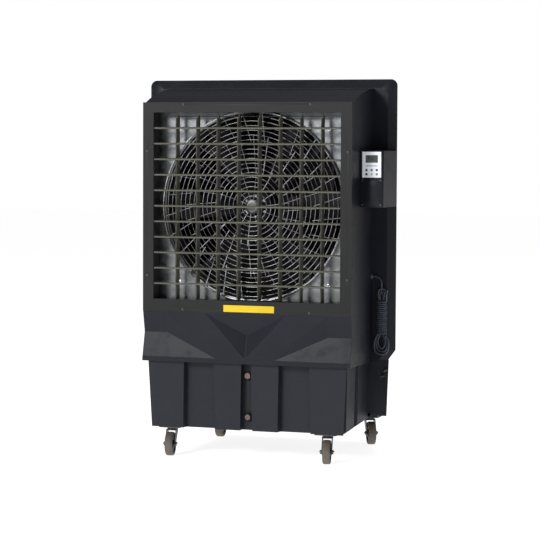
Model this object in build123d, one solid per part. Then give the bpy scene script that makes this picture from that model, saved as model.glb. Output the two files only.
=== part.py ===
from build123d import *
import math
import os

# A wheeled evaporative cooler, in millimetres.  +Z is up, +X is to the right of someone who
# faces the louvres, and +Y runs from the louvres to the cooling pad at the back.  Depths are
# measured from the face of the louvre frame.  When everything is placed, the whole cooler is
# shifted along Y so that the row's origin is on the floor, under the middle of its outline.

# ---- overall sizes ----
front_width = 910.0          # louvre frame and fan box
rear_width = 1105.0          # widest part of the housing
face_bottom = 609.0          # lower edge of the louvre frame
face_top = 1477.0            # upper edge of the louvre frame
housing_bottom = 398.5       # lower edge of the skirt and of the fan box
housing_top = 1577.0         # top of the rear housing
box_depth = 325.0            # face of the frame to the step where the housing widens
rear_depth = 737.6           # face of the frame to the back of the pad frame
wall = 4.0                   # moulded housing wall
wheel_radius = 50.0
caster_headroom = 20.0       # top of the wheels to the underside of the tank
tank_bottom = 2 * wheel_radius + caster_headroom

# ---- louvre frame ----
opening_width = 816.0
opening_height = 776.0
opening_centre = 1047.0      # height of the middle of the opening
frame_plate = 4.0            # thickness of the face plate
frame_return = 3.0           # thickness of the walls around the opening
frame_depth = 66.0           # depth of those walls
frame_lip = 28.0             # depth of the outer rim
screw_radius = 3.0
screw_head_radius = 5.5

# ---- louvres and fins ----
louvre_count = 11
louvre_chord = 21.0
louvre_thickness = 9.0
louvre_depth = 12.0          # depth of the pivot line behind the face
fin_count = 8
fin_chord = 42.0
fin_thickness = 10.5
fin_depth = 46.0
fin_swing = 35.0             # degrees each way
louvre_swing = 35.0
pin_radius = 2.5             # pivot pins of the louvres and fins
pin_clearance = 0.06
end_gap = 1.0                # blade end to frame wall
crank_radius = 12.0          # fin pivot to the pin in the link bar
crank_pin_radius = 2.0
link_height = 14.0           # link bar below the top wall of the opening
link_thickness = 3.0

# ---- fan ----
fan_radius = 378.0
tip_clearance = 9.0          # blade tip to shroud
shroud_wall = 3.0
shroud_depth = 100.0         # face of the frame to the front of the shroud plate
shroud_length = 120.0
blade_count = 6
blade_thickness = 4.0
blade_pitch = 24.0           # degrees from the plane of rotation
hub_radius = 75.0
hub_length = 70.0
shaft_radius = 10.0
running_gap = 0.05           # radial gap of every running fit
motor_radius = 82.0
motor_length = 130.0
strut_width = 30.0
guard_depth = 78.0
guard_thickness = 5.0

# ---- back of the cooler ----
side_taper = 20.0            # degrees that the sides turn in towards the back
top_taper = 5.0
step_bottom = 405.0          # lower edge of the rear housing
step_chamfer_top = 448.0     # where its lower corners start to turn in
step_chamfer_half = 521.0    # half width along that lower edge
rim_depth = 15.0             # the rear housing's front face stands this far before its widest line
rim_inset = 36.0             # and is this much smaller all round
corner_radius = 28.0         # upper corners of the rear housing
pad_frame_depth = 18.0
pad_thickness = 100.0
pad_clearance = 1.0
rear_slats = 14
pad_bottom = 500.0
trough_height = 40.0
hose_radius = 9.0

# ---- water tank ----
tank_wall = 5.0
tank_half_top = 427.0
tank_half_bottom = 421.0
tank_front = 18.0
wing_half = 524.0
wing_draft = 9.0             # the wings are this much narrower at the bottom, on each side
side_flare = 0.052           # the ribbed sides spread towards the back
wing_bottom = tank_bottom + 48.0
rib_outer_edge = 280.0       # outer raised panels run from here to the corner
rib_middle_edge = 137.0      # middle raised panels run from the channel to here
rib_recess = 30.0
channel_half = 27.0
channel_depth = 32.0

gauge_fittings = [(347.0, 19.0), (174.0, 18.0)]   # height and radius of the channel fittings
gauge_shank = 7.0

# ---- casters ----
wheel_width = 33.0
caster_trail = 36.0
caster_half = 343.0          # swivel axes, left and right of the middle
caster_front = 52.0          # depths of the swivel axes
tank_rear = rear_depth - 25.6        # depth of the tank's back wall
caster_rear = tank_rear - 48.0
caster_rest = {"front_left": 10.0, "front_right": 13.0, "rear_left": 5.0, "rear_right": 26.0}
plate_thickness = 4.0
axle_radius = 5.0

# ---- controls ----
control_front = 120.0
control_bottom = 1049.0
control_top = 1280.0
bezel_width = 80.0
bezel_height = 105.0
window_width = 53.0
window_height = 31.0
key_radius = 4.5
key_clearance = 0.3
key_pitch_x = 22.0
key_pitch_z = 17.0
key_travel = 1.0

# ---- water fittings ----
stub_radius = 5.0
stub_neck = 3.0              # narrower neck in front of the wall
stub_length = 45.0
inlet_at = (513.0, 363.0)    # across, up
drain_at = (500.0, 339.0)

# ---- power cord ----
cord_radius = 3.8
gland_at = (296.0, 756.0)    # depth, height
gland_nose = 9.0
cord_route = [(464, 296, 756), (475.6, 296, 756), (490.5, 295.3, 749), (499, 294.2, 735), (499, 294, 710)]
hank_top = 710.0
hank_bottom = 424.0
hank_centre = (501.0, 294.0)
hank_thickness = 25.0

half = front_width / 2
open_half = opening_width / 2
open_bottom = opening_centre - opening_height / 2
open_top = opening_centre + opening_height / 2
louvre_pitch = opening_height / (louvre_count + 1)
fin_pitch = opening_width / (fin_count + 1)
shroud_radius = fan_radius + tip_clearance


def block(x, y, z):
    """A box between two limits on each axis."""
    size = [b - a for a, b in (x, y, z)]
    middle = [(a + b) / 2 for a, b in (x, y, z)]
    return Pos(*middle) * Box(*size)


def rod(start, direction, length, radius):
    """A cylinder from a point, along a direction."""
    return Solid.make_cylinder(radius, length, Plane(origin=start, z_dir=direction))


def tube(start, direction, length, outer, inner):
    return rod(start, direction, length, outer) - rod(start, direction, length, inner)


def outline_yz(points, x):
    """A flat outline of (depth, height) points, pushed out between two X limits."""
    face = Plane(origin=(x[0], 0, 0), x_dir=(0, 1, 0), z_dir=(1, 0, 0)) * make_face(Polyline(points, close=True))
    return extrude(face, amount=x[1] - x[0], dir=(1, 0, 0))


def outline_xz(points, y):
    """A flat outline of (across, height) points, pushed out between two depths."""
    face = Plane(origin=(0, y[0], 0), x_dir=(1, 0, 0), z_dir=(0, -1, 0)) * make_face(Polyline(points, close=True))
    return extrude(face, amount=y[1] - y[0], dir=(0, 1, 0))


def outline_xy(points, z, taper=0.0):
    face = Plane(origin=(0, 0, z[0])) * make_face(Polyline(points, close=True))
    return extrude(face, amount=z[1] - z[0], dir=(0, 0, 1), taper=taper)


def inward(points, distance):
    """The corners of a closed outline after each side is moved inwards; the outline runs anticlockwise."""
    moved = []
    for before, at, after in zip(points[-1:] + points[:-1], points, points[1:] + points[:1]):
        a = (Vector(*at) - Vector(*before)).normalized()
        b = (Vector(*after) - Vector(*at)).normalized()
        normals = Vector(-a.Y, a.X), Vector(-b.Y, b.X)
        along = (normals[0] + normals[1]) / (1 + normals[0].dot(normals[1]))
        moved.append((at[0] + along.X * distance, at[1] + along.Y * distance))
    return moved


def facets(faces):
    """A closed solid from flat polygons."""
    made = [Face(Wire.make_polygon([Vector(*p) for p in face], close=True)) for face in faces]
    return Solid(Shell(made))


# ---------------------------------------------------------------- housing

def rear_half(depth, inset=0.0):
    """Half width of the rear housing at a depth, on its sloping side."""
    slope = math.radians(side_taper)
    return rear_width / 2 - inset / math.cos(slope) - (depth - box_depth) * math.tan(slope)


def rear_top(depth, inset=0.0):
    slope = math.radians(top_taper)
    return housing_top - inset / math.cos(slope) - (depth - box_depth) * math.tan(slope)


def rear_section(depth, inset, side, top):
    """Outline of the rear housing at a depth, with its upper corners rounded."""
    low = step_chamfer_half - rear_width / 2 + side
    points = [(-low, step_bottom), (low, step_bottom), (side, step_chamfer_top), (side, top),
              (-side, top), (-side, step_chamfer_top)]
    face = Face(Wire.make_polygon([Vector(x, depth, z) for x, z in points], close=True))
    upper = [v for v in face.vertices() if v.Z > (step_chamfer_top + top) / 2]
    return face.fillet_2d(corner_radius - inset, upper).outer_wire()


def rear_shape(inset):
    """The wide rear housing as a solid: a flat front face, a bevel out to its widest line, then tapered."""
    front, widest = box_depth - rim_depth + inset, box_depth + 0.6 * inset
    back = rear_depth - pad_frame_depth + (0 if inset == 0 else 1)
    rim = rim_inset - 0.9 * inset
    near = rear_section(front, inset, rear_half(box_depth, inset) - rim, rear_top(box_depth, inset) - rim)
    wide = rear_section(widest, inset, rear_half(widest, inset), rear_top(widest, inset))
    far = rear_section(back, inset, rear_half(back, inset), rear_top(back, inset))
    return Solid.make_loft([near, wide], ruled=True) + Solid.make_loft([wide, far], ruled=True)


def roof_points(inset):
    """The fan box's roof in side view, as a line of chords along a shallow arc."""
    rise = face_top - inset
    arc = ThreePointArc((frame_lip, rise, 0), (118, rise + 31, 0), (box_depth, rise + 62, 0))
    steps = 6
    return [(arc.position_at(i / steps).X, arc.position_at(i / steps).Y) for i in range(steps + 1)]


def box_shape(inset, bottom, front):
    roof = roof_points(inset)
    rear = box_depth + 2 * wall
    points = [(front, bottom), (rear, bottom), (rear, roof[-1][1])] + roof[::-1]
    if front < roof[0][0]:
        points.append((front, roof[0][1]))
    return outline_yz(points, (-half + inset, half - inset))


def main_housing():
    skirt_back = 60.0
    outer = box_shape(0, housing_bottom, frame_lip) + rear_shape(0)
    inner = box_shape(wall, housing_bottom - 20, frame_lip - 20) + rear_shape(wall)
    inner += block((-step_chamfer_half + wall, step_chamfer_half - wall), (box_depth + wall, rear_depth - 200),
                   (step_bottom - 20, step_bottom + 1))
    shell = outer - inner
    shell -= block((-half - 1, half + 1), (-20, skirt_back), (housing_bottom - 1, face_bottom))
    shell -= block((-600, 600), (box_depth - 0.5, rear_depth), (0, step_bottom))
    shell -= rod((half - 20, gland_at[0], gland_at[1]), (1, 0, 0), 40, 9.0 + running_gap)
    return shell


def front_skirt():
    """The faceted panel between the louvre frame and the tank, with its lip and side cheeks."""
    top, crease, peak, low = face_bottom, 519.0, 515.0, 417.0
    valley, beak, lip_face, back = 19.0, 23.0, -6.0, 60.0
    right = {"P": (half, 0, top), "A": (355, 0, top), "D": (182, 0, top), "Q": (half, valley, crease),
             "B": (352, valley, crease), "R": (half, lip_face, low), "C": (125, lip_face, low)}
    left = {k: (-x, y, z) for k, (x, y, z) in right.items()}
    tip, foot = (0, beak, peak), (0, lip_face, low)
    faces = []
    for p in (right, left):
        faces += [[p["P"], p["A"], p["B"], p["Q"]], [p["Q"], p["B"], p["C"], p["R"]],
                  [p["A"], p["C"], p["B"]], [p["A"], p["D"], foot, p["C"]], [p["D"], tip, foot]]
        side = p["P"][0]
        faces.append([p["P"], p["Q"], p["R"], (side, back, low), (side, back, top)])
    r, m = right, left
    faces.append([r["D"], m["D"], tip])
    faces.append([r["P"], r["A"], r["D"], m["D"], m["A"], m["P"], (-half, back, top), (half, back, top)])
    faces.append([r["R"], r["C"], foot, m["C"], m["R"], (-half, back, low), (half, back, low)])
    faces.append([(half, back, top), (-half, back, top), (-half, back, low), (half, back, low)])
    solid = facets(faces)
    inner = block((-half + wall, half - wall), (-30, 90), (low - 1, top + 1))
    skin = solid - (Pos(0, wall, 0) * solid & inner)
    lip = block((-half, half), (lip_face - 2, back), (housing_bottom, low))
    lip -= block((-half + wall, half - wall), (lip_face - 2 + wall, back + 1), (housing_bottom - 1, low + 1))
    return skin + lip


# ---------------------------------------------------------------- water tank

def tank_plan(inset):
    """Plan of the ribbed front part at its floor, as a face."""
    side = tank_half_bottom
    right = [(29, 18 + channel_depth), (channel_half, 18), (rib_middle_edge, 18),
             (rib_middle_edge + 4, 18 + rib_recess), (rib_outer_edge - 4, 18 + rib_recess), (rib_outer_edge, 18),
             (side, 18), (side - 12, 30), (side - 12, 50), (side, 54), (side, 146), (side - 12, 150), (side - 12, 185),
             (side, 189), (side, box_depth + 5 + 2 * inset)]
    right = [(x + max(0, y - 50) * side_flare if x > 400 else x, y) for x, y in right]
    points = right + [(-x, y) for x, y in reversed(right)]
    return make_face(Polyline(inward(points, inset), close=True))


def tank_shape(inset):
    """The whole tank as a solid: ribbed front, wide wings behind it and a belly under the wings."""
    floor = tank_bottom + inset
    draft = math.degrees(math.atan((tank_half_top - tank_half_bottom) / (step_bottom - tank_bottom)))
    height = step_bottom - floor + (0 if inset == 0 else 1)
    front = extrude(Pos(0, 0, floor) * tank_plan(inset), amount=height, dir=(0, 0, 1), taper=-draft)
    front &= block((-600, 600), (0, box_depth + 5 + 2 * inset), (0, 1000))
    slope = math.tan(math.radians(side_taper))
    near, far = box_depth + inset, tank_rear - inset
    sections = []
    for depth in (near, far):
        w = wing_half - inset - (depth - box_depth) * slope
        z0, z1 = wing_bottom + inset, floor + height
        foot = w - wing_draft
        corners = [(-foot, z0), (foot, z0), (w, z1), (-w, z1)]
        sections.append(Wire.make_polygon([Vector(x, depth, z) for x, z in corners], close=True))
    wings = Solid.make_loft(sections, ruled=True)
    reach = [(449 - inset, near - 2 * inset), (383 - inset, far)]
    belly = outline_xy(reach + [(-x, y) for x, y in reversed(reach)], (floor, wing_bottom + 2 * inset))
    low = front + belly
    for side in (1, -1):
        low -= side_facet(side, inset)
    bosses = [block((side * caster_half - 48, side * caster_half + 48), (caster_rear - 48, caster_rear + 48),
                    (floor, wing_bottom + inset)) for side in (1, -1)]
    whole = low + wings
    return whole if inset else whole + bosses


def side_facet(side, inset):
    """The sloping cut under each side, which rises outwards and towards the back."""
    across, back = 0.6306, 0.0774
    points = [(300, 20), (449.5, 20), (449.5, 760), (300, 760)]
    rise = [tank_bottom + inset * 1.2 + across * (x - 413) + back * (y - 24) for x, y in points]
    base = [(side * x, y, -200) for x, y in points]
    top = [(side * x, y, z) for (x, y), z in zip(points, rise)]
    sides = [[base[i], base[(i + 1) % 4], top[(i + 1) % 4], top[i]] for i in range(4)]
    wedge = facets([base, top] + sides)
    return wedge & block((-500, 500), (0, 800), (0, wing_bottom))


def water_tank():
    tank = tank_shape(0) - tank_shape(tank_wall)
    for across, height in (inlet_at, drain_at):
        tank -= rod((across, box_depth - 5, height), (0, 1, 0), 15, stub_radius - 0.5 + running_gap)
    for height, radius in gauge_fittings:
        tank -= rod((0, 10, height), (0, 1, 0), 60, gauge_shank + running_gap)
    return tank


def channel_fittings():
    """Two round screwed fittings in the middle channel of the tank."""
    solids = []
    for height, radius in gauge_fittings:
        back = tank_front + channel_depth - (height - tank_bottom) * (tank_half_top - tank_half_bottom) / (step_bottom - tank_bottom)
        body = rod((0, back - 1, height), (0, -1, 0), 9, radius)
        body += rod((0, back - 10, height), (0, -1, 0), 6, radius * 0.62)
        body += rod((0, back - 2, height), (0, 1, 0), 12, gauge_shank)
        body += rod((0, back + 6.5, height), (0, 1, 0), 5, radius * 0.9)
        solids.append(body)
    return solids


def water_stubs():
    """Inlet and drain pipes that stand out of the wing's front wall."""
    neck = tank_wall + stub_neck
    return [rod((x, box_depth + tank_wall, z), (0, -1, 0), neck + 1, stub_radius - 0.5)
            + rod((x, box_depth - stub_neck, z), (0, -1, 0), stub_length, stub_radius)
            for x, z in (inlet_at, drain_at)]


def float_valve():
    x, z = inlet_at
    face = box_depth + tank_wall + 0.2
    body = block((x - 20, x - 6), (face, face + 16), (z - 9, z + 9))
    arm_start, ball = Vector(x - 13, face + 12, z), Vector(x - 80, face + 110, z - 30)
    arm = rod(arm_start, (ball - arm_start).normalized(), (ball - arm_start).length, 2.0)
    return body + arm + Pos(*ball) * Sphere(28)


# ---------------------------------------------------------------- louvre frame, louvres and fins

def front_frame():
    plate = block((-half, half), (0, frame_plate), (face_bottom, face_top))
    rim = block((-half, half), (0, frame_lip), (face_bottom, face_top))
    rim -= block((-half + wall, half - wall), (-1, frame_lip + 1), (face_bottom + wall, face_top - wall))
    t = frame_return
    walls = block((-open_half - t, open_half + t), (0, frame_depth), (open_bottom - t, open_top + t))
    frame = plate + rim + walls
    frame -= block((-open_half, open_half), (-1, frame_depth + 1), (open_bottom, open_top))
    hole = pin_radius + pin_clearance
    for z in louvre_heights():
        frame -= rod((-open_half - 9, louvre_depth, z), (1, 0, 0), opening_width + 18, hole)
    for x in fin_places():
        frame -= rod((x, fin_depth, open_bottom - 9), (0, 0, 1), opening_height + 18, hole)
    for x, z in screw_places():
        frame -= rod((x, -1, z), (0, 1, 0), frame_plate + 2, screw_radius + 0.2)
    return frame


def louvre_heights():
    return [open_bottom + louvre_pitch * (i + 1) for i in range(louvre_count)]


def fin_places():
    return [-open_half + fin_pitch * (i + 1) for i in range(fin_count)]


def screw_places():
    across, up, down = 277.0, 1275.0, 757.0
    edge_x, edge_z = (half + open_half) / 2 + 6, 9.0
    return ([(s * across, z) for s in (1, -1) for z in (face_bottom + edge_z, face_top - edge_z)]
            + [(s * edge_x, z) for s in (1, -1) for z in (up, down)])


def frame_screws():
    """Pan-head screws: a head on the plate and a shank through it."""
    solids = []
    for x, z in screw_places():
        head = rod((x, 0, z), (0, -1, 0), 2.4, screw_head_radius)
        solids.append(head + rod((x, 0, z), (0, 1, 0), frame_plate + 8, screw_radius))
    return solids


def louvre(height):
    """A flat oval blade with a pin at each end."""
    length = opening_width - 2 * end_gap
    section = Plane(origin=(-length / 2, louvre_depth, height), x_dir=(0, 1, 0), z_dir=(1, 0, 0))
    blade = extrude(section * Ellipse(louvre_chord / 2, louvre_thickness / 2), amount=length, dir=(1, 0, 0))
    reach = open_half + frame_return
    return blade + rod((-reach, louvre_depth, height), (1, 0, 0), 2 * reach, pin_radius)


def fin(across):
    """An upright oval blade with pins, and a crank at its top that the link bar pushes."""
    top = open_top - link_height - 8
    length = top - open_bottom - end_gap
    section = Plane(origin=(across, fin_depth, open_bottom + end_gap), x_dir=(0, 1, 0), z_dir=(0, 0, 1))
    blade = extrude(section * Ellipse(fin_chord / 2, fin_thickness / 2), amount=length, dir=(0, 0, 1))
    reach = frame_return
    pins = rod((across, fin_depth, open_bottom - reach), (0, 0, 1), opening_height + 2 * reach, pin_radius)
    arm_z = (top - 2, top + 4)
    crank = block((across - 3.5, across + 3.5), (fin_depth, fin_depth + crank_radius), arm_z)
    crank += rod((across, fin_depth + crank_radius, arm_z[0]), (0, 0, 1), 6, 3.5)
    crank += rod((across, fin_depth + crank_radius, arm_z[1] - 1), (0, 0, 1), link_thickness + 6, crank_pin_radius)
    return blade + pins + crank


def link_ratio():
    """Travel of the link bar for each radian of fin, matched at the end of the fins' swing."""
    swing = math.radians(fin_swing)
    return crank_radius * math.sin(swing) / swing


def fin_link():
    """The bar across all the cranks, with a slot for each crank pin."""
    base = open_top - link_height - 8 + 4 + 0.5
    slack = 0.3
    drop = crank_radius * (1 - math.cos(math.radians(fin_swing)))
    y0, y1 = fin_depth + crank_radius - drop - 4.5, fin_depth + crank_radius + 5.5
    places = fin_places()
    bar = block((places[0] - 14, places[-1] + 14), (y0, y1), (base, base + link_thickness))
    for x in places:
        reach = crank_pin_radius + slack
        slot = block((x - reach, x + reach), (fin_depth + crank_radius - drop, fin_depth + crank_radius),
                     (base - 1, base + link_thickness + 1))
        for y in (fin_depth + crank_radius - drop, fin_depth + crank_radius):
            slot += rod((x, y, base - 1), (0, 0, 1), link_thickness + 2, reach)
        bar -= slot
    return bar


# ---------------------------------------------------------------- fan

def fan_shroud():
    """A plate across the fan box with a round duct behind its hole."""
    y = shroud_depth
    plate = block((-half + wall, half - wall), (y, y + shroud_wall), (face_bottom + 6, face_top - 4))
    plate -= rod((0, y - 1, opening_centre), (0, 1, 0), shroud_wall + 2, shroud_radius)
    duct = tube((0, y, opening_centre), (0, 1, 0), shroud_length, shroud_radius + shroud_wall, shroud_radius)
    return plate + duct


def fan_guard():
    """A wire guard in front of the fan, kept to its rim, spokes and centre plate."""
    y, c, t = guard_depth, opening_centre, guard_thickness
    rim = tube((0, y, c), (0, 1, 0), t, shroud_radius + 11, shroud_radius + 3)
    guard = rim + rod((0, y, c), (0, 1, 0), t, 30)
    for i in range(8):
        spoke = block((0, shroud_radius + 5), (y, y + t), (-2, 2))
        guard += Pos(0, 0, c) * Rot(0, i * 45, 0) * spoke
    for i in range(4):
        a = math.radians(45 + 90 * i)
        r = shroud_radius + 7
        guard += rod((r * math.cos(a), y, c + r * math.sin(a)), (0, 1, 0), shroud_depth - y, 4)
    return guard


def fan_rotor():
    """Hub, pitched blades and the shaft that runs into the motor."""
    middle = shroud_depth + shroud_length / 2
    front = middle - hub_length / 2
    hub = rod((0, front, 0), (0, 1, 0), hub_length, hub_radius)
    blades = []
    for i in range(blade_count):
        blade = Rot(blade_pitch, 0, 0) * Box(fan_radius + 20, blade_thickness, 118, align=(Align.MIN, Align.CENTER, Align.CENTER))
        blades.append(Pos(0, middle, 0) * Rot(0, i * 360 / blade_count, 0) * blade)
    reach = rod((0, 0, 0), (0, 1, 0), 400, fan_radius)
    rotor = hub + [b & reach for b in blades]
    shaft = motor_front() + 40 - (middle + hub_length / 2)
    rotor += rod((0, middle + hub_length / 2, 0), (0, 1, 0), shaft, shaft_radius)
    return Pos(0, 0, opening_centre) * rotor


def motor_front():
    return shroud_depth + shroud_length + 5


def fan_motor():
    y = motor_front()
    body = rod((0, y, opening_centre), (0, 1, 0), motor_length, motor_radius)
    body -= rod((0, y - 1, opening_centre), (0, 1, 0), 43, shaft_radius + running_gap)
    return body + block((-30, 30), (y + 54, y + 120), (opening_centre + motor_radius - 6, opening_centre + motor_radius + 34))


def motor_mount():
    """Four struts from the duct to a band round the motor."""
    y, c = shroud_depth + shroud_length, opening_centre
    band = tube((0, y, c), (0, 1, 0), 50, motor_radius + 5, motor_radius)
    mount = band
    for i in range(4):
        strut = block((motor_radius + 2, shroud_radius + shroud_wall - 0.5), (0, 6), (-strut_width / 2, strut_width / 2))
        mount += Pos(0, y, c) * Rot(0, 45 + 90 * i, 0) * strut
    return mount


# ---------------------------------------------------------------- pad and water

def pad_limits():
    """Width and height that the pad has inside the tapering housing."""
    back = rear_depth - pad_frame_depth
    side = rear_half(back, wall) - pad_clearance - 2
    return side, (pad_bottom, rear_top(back, wall) - trough_height - 6)


def pad_frame():
    """The louvred frame over the back of the pad, with the shelf that the pad stands on."""
    y0, y1 = rear_depth - pad_frame_depth, rear_depth
    side, (low, high) = pad_limits()
    top = rear_top(y0)
    outer = extrude(Face(rear_section(y0, 1.0, rear_half(y0, 1.0), top - 1)), amount=pad_frame_depth, dir=(0, 1, 0))
    rim = 34.0
    frame = outer - block((-side + rim, side - rim), (y0 - 1, y1 + 1), (low + rim, top - rim))
    pitch = (top - low - 2 * rim) / rear_slats
    for i in range(rear_slats):
        slat = Pos(0, (y0 + y1) / 2, low + rim + pitch * (i + 0.5)) * Rot(-35, 0, 0) * Box(2 * (side - rim) + 2, 17, 2)
        frame += slat
    shelf = block((-side, side), (y0 - pad_thickness, y0 + 1), (low - wall, low))
    return frame + shelf


def cooling_pad():
    side, height = pad_limits()
    back = rear_depth - pad_frame_depth
    return block((-side, side), (back - pad_thickness, back), height)


def water_distributor():
    side, height = pad_limits()
    back = rear_depth - pad_frame_depth
    y = (back - pad_thickness - 34, back - 8)
    trough = block((-side + 20, side - 20), y, (height[1], height[1] + trough_height))
    hollow = block((-side + 23, side - 23), (y[0] + 3, y[1] - 3), (height[1] + 3, height[1] + trough_height + 1))
    return trough - hollow


def hose_place():
    return 190.0, rear_depth - pad_frame_depth - pad_thickness - 22


def water_pump():
    x, y = hose_place()
    body = block((x - 42, x + 42), (y - 45, y + 38), (tank_bottom + tank_wall, tank_bottom + tank_wall + 85))
    return fillet(body.edges().filter_by(Axis.Z), 10)


def supply_hose():
    x, y = hose_place()
    start = tank_bottom + tank_wall + 85
    return rod((x, y, start), (0, 0, 1), pad_limits()[1][1] - start, hose_radius)


# ---------------------------------------------------------------- casters

def caster_parts(name):
    """Fork and wheel of one caster, turned to the way it was left standing."""
    x = caster_half * (1 if "right" in name else -1)
    y = caster_front if "front" in name else caster_rear
    place = Pos(x, y, 0) * Rot(0, 0, caster_rest[name])
    inner = wheel_width / 2 + 2.0
    crown_low, crown_high = 2 * wheel_radius + 3.5, 2 * wheel_radius + 7.5
    legs = []
    for side in (1, -1):
        points = [(-24, crown_low), (20, crown_low), (20, crown_low - 6), (-caster_trail + 13, wheel_radius),
                  (-caster_trail, wheel_radius - 12), (-caster_trail - 13, wheel_radius)]
        x0 = inner if side > 0 else -inner - 3
        leg = outline_yz(points + [(-caster_trail - 10, wheel_radius + 14)], (x0, x0 + 3))
        legs.append(leg)
    crown = block((-inner - 3, inner + 3), (-24, 20), (crown_low, crown_high))
    crown += rod((0, 0, crown_low), (0, 0, 1), 4, 24)
    axle = rod((-inner - 3, -caster_trail, wheel_radius), (1, 0, 0), 2 * inner + 6, axle_radius)
    nuts = [rod((s * (inner + 3), -caster_trail, wheel_radius), (s, 0, 0), 6, 8.5) for s in (1, -1)]
    kingpin = rod((0, 0, crown_high - 1), (0, 0, 1), tank_bottom - plate_thickness - crown_high + 1, 6)
    fork = crown + legs + axle + nuts + kingpin
    wheel = rod((-wheel_width / 2, -caster_trail, wheel_radius), (1, 0, 0), wheel_width, wheel_radius)
    wheel = fillet(wheel.edges(), 6)
    wheel -= rod((-wheel_width, -caster_trail, wheel_radius), (1, 0, 0), 2 * wheel_width, axle_radius + running_gap)
    return place * fork, place * wheel


def caster_plates():
    solids = []
    for x in (caster_half, -caster_half):
        for y in (caster_front, caster_rear):
            top = tank_bottom
            plate = block((x - 46, x + 46), (y - 34, y + 34), (top - plate_thickness, top))
            plate += rod((x, y, 2 * wheel_radius + 8), (0, 0, 1), top - plate_thickness - 2 * wheel_radius - 8, 20)
            plate -= rod((x, y, 2 * wheel_radius), (0, 0, 1), top - plate_thickness - 2 * wheel_radius, 6 + running_gap)
            solids.append(plate)
    return solids


# ---------------------------------------------------------------- controls

def bezel_middle():
    across = (half + rear_width / 2) / 2
    return across, control_top - 4 - bezel_height / 2


def key_places():
    x, z = bezel_middle()
    return [(x + key_pitch_x * i, z - 22 - key_pitch_z * j) for j in (0, 1) for i in (-1, 0, 1)]


def control_box():
    x = (half, rear_width / 2)
    box = block(x, (control_front, box_depth), (control_bottom, control_top))
    box = fillet([e for e in box.edges().filter_by(Axis.Z) if e.center().X > half + 1], 8)
    box -= block((x[0] + 3, x[1] - 3), (control_front + 3, box_depth + 1), (control_bottom + 3, control_top - 3))
    box -= rear_shape(0)
    cx, cz = bezel_middle()
    return box - block((cx - 37, cx + 37), (control_front - 1, control_front + 4), (cz - 48, cz + 48))


def display_panel():
    cx, cz = bezel_middle()
    y = control_front
    plate = block((cx - bezel_width / 2, cx + bezel_width / 2), (y - 3, y), (cz - bezel_height / 2, cz + bezel_height / 2))
    plate = fillet(plate.edges().filter_by(Axis.Y), 1.5)
    plate -= window((y - 4, y + 1))
    for x, z in key_places():
        plate -= rod((x, y - 4, z), (0, 1, 0), 6, key_radius + key_clearance)
    board = block((cx - 34, cx + 34), (y + 10, y + 12), (cz - 45, cz + 45))
    for s, t in ((1, 1), (1, -1), (-1, 1), (-1, -1)):
        board += rod((cx + s * 33.5, y, cz + t * 44.5), (0, 1, 0), 12, 3)
    return plate + board


def window(y):
    cx, cz = bezel_middle()
    return block((cx - window_width / 2, cx + window_width / 2), y, (cz + 8, cz + 8 + window_height))


def display_lens():
    return window((control_front - 2.4, control_front - 0.6))


def key(place):
    """A round key with a rim behind the panel that keeps it in."""
    x, z = place
    y = control_front
    body = rod((x, y - 4.6, z), (0, 1, 0), 8.0, key_radius)
    return body + rod((x, y + 0.4, z), (0, 1, 0), 2.0, key_radius + 1.2)


def control_cover():
    x0, x1 = half + 1, rear_width / 2 - 3
    z0, z1 = control_bottom + 3, bezel_middle()[1] - bezel_height / 2 - 3
    cover = block((x0, x1), (control_front - 2, control_front), (z0, z1))
    cover = fillet(cover.edges().filter_by(Axis.Y), 5)
    for x in (x0 + 8, x1 - 8):
        for z in (z0 + 8, z1 - 8):
            cover += rod((x, control_front - 2, z), (0, -1, 0), 1.6, 4)
    return cover


# ---------------------------------------------------------------- power cord

def cord_gland():
    """A tapered strain relief through the side wall."""
    y, z = gland_at
    nose = Solid.make_cone(8.5, cord_radius + 1.4, gland_nose - 4, Plane(origin=(half + 4, y, z), z_dir=(1, 0, 0)))
    flange = rod((half, y, z), (1, 0, 0), 4, 11)
    shank = rod((half, y, z), (-1, 0, 0), wall + 6, 9)
    return nose + flange + shank


def power_cord():
    route = [Vector(*p) for p in cord_route]
    radii = []
    for before, at, after in zip(route, route[1:], route[2:]):
        turn = (at - before).get_angle(after - at)
        run = min((at - before).length, (after - at).length)
        radii.append(0.45 * run / math.tan(math.radians(turn / 2)))
    print("cord radii", [round(r, 1) for r in radii])
    path = FilletPolyline(*route, radius=radii)
    section = Plane(origin=path @ 0, z_dir=path % 0) * Circle(cord_radius)
    made = sweep(section, path=path)
    ideal = math.pi * cord_radius ** 2 * path.length
    print("cord length", round(path.length, 1), "volume / section x length", round(made.volume / ideal, 4))
    return made


def cord_hank():
    """The outer shape of the wound cord: narrow loops at the top, a waist, wide loops below."""
    x, y = hank_centre
    sides = [(16, hank_top), (20, 690), (21, 646), (21, 510), (35, 482), (37, 455), (28, 434), (10, hank_bottom)]
    points = [(x + dx, z) for dx, z in sides] + [(x - dx, z) for dx, z in reversed(sides)]
    body = outline_xz(points, (y - hank_thickness / 2, y + hank_thickness / 2))
    return body


# ---------------------------------------------------------------- assembly

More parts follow.
